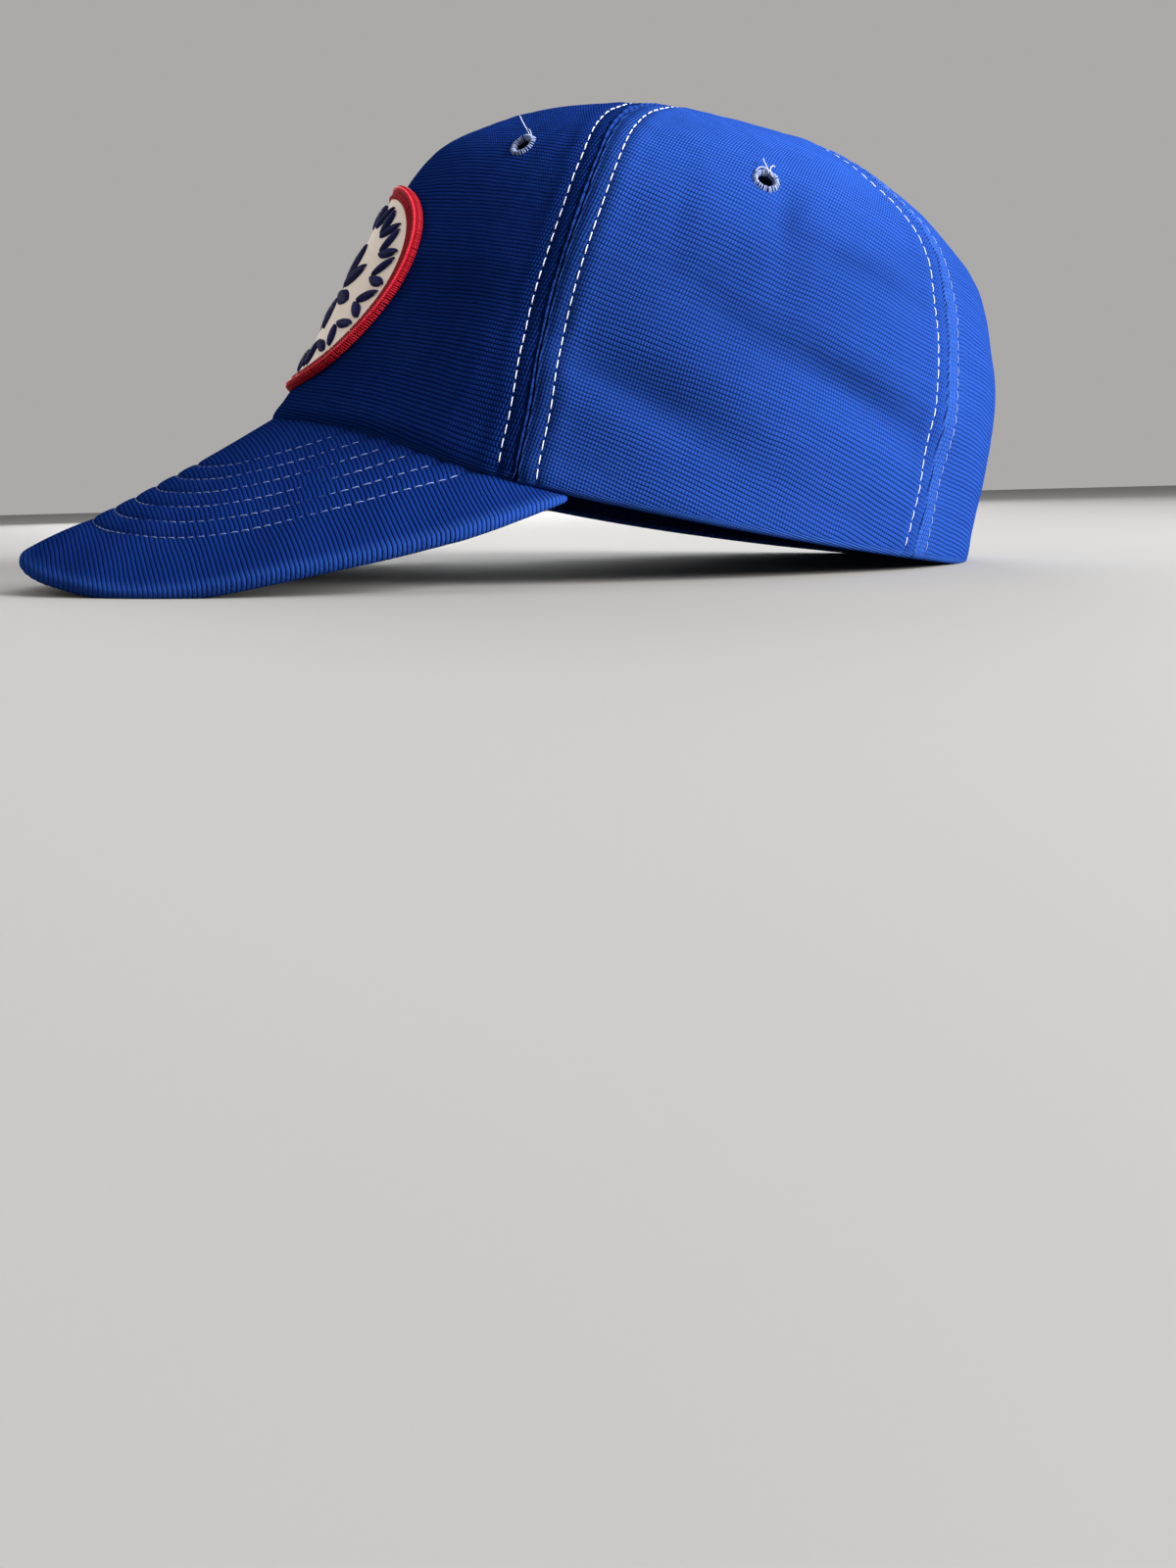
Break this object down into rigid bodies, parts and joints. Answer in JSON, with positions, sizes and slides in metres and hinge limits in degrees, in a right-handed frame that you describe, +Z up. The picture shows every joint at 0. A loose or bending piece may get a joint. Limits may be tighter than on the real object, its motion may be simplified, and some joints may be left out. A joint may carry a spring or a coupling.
{
  "type": "trucker cap",
  "caption": "Foam-backed knit trucker cap with a tall rounded crown, a stitched curved visor, sewn eyelets and a round embroidered patch on the front.",
  "frame": {"origin": "on the floor under the middle of the cap's bounding box", "axes": "+Z up with the cap standing on its visor and the back of its rim; the visor points along -Y; +X is the wearer's left"},
  "size_m": [0.1708, 0.2832, 0.1268],
  "materials": {
    "knit_blue": "ribbed polyester knit with a soft sheen",
    "thread_white": "sewing thread",
    "twill_white": "off-white twill",
    "border_red": "overlocked embroidery thread"
  },
  "bodies": {
    "root": {"front_panel": "knit_blue", "side_panel_left": "knit_blue", "side_panel_right": "knit_blue", "back_panel_left": "knit_blue", "back_panel_right": "knit_blue", "visor": "knit_blue", "eyelet_front_left": "thread_white", "eyelet_front_right": "thread_white", "eyelet_side_left": "thread_white", "eyelet_side_right": "thread_white", "patch_ground": "twill_white", "patch_border": "border_red"}
  },
  "joints": []
}
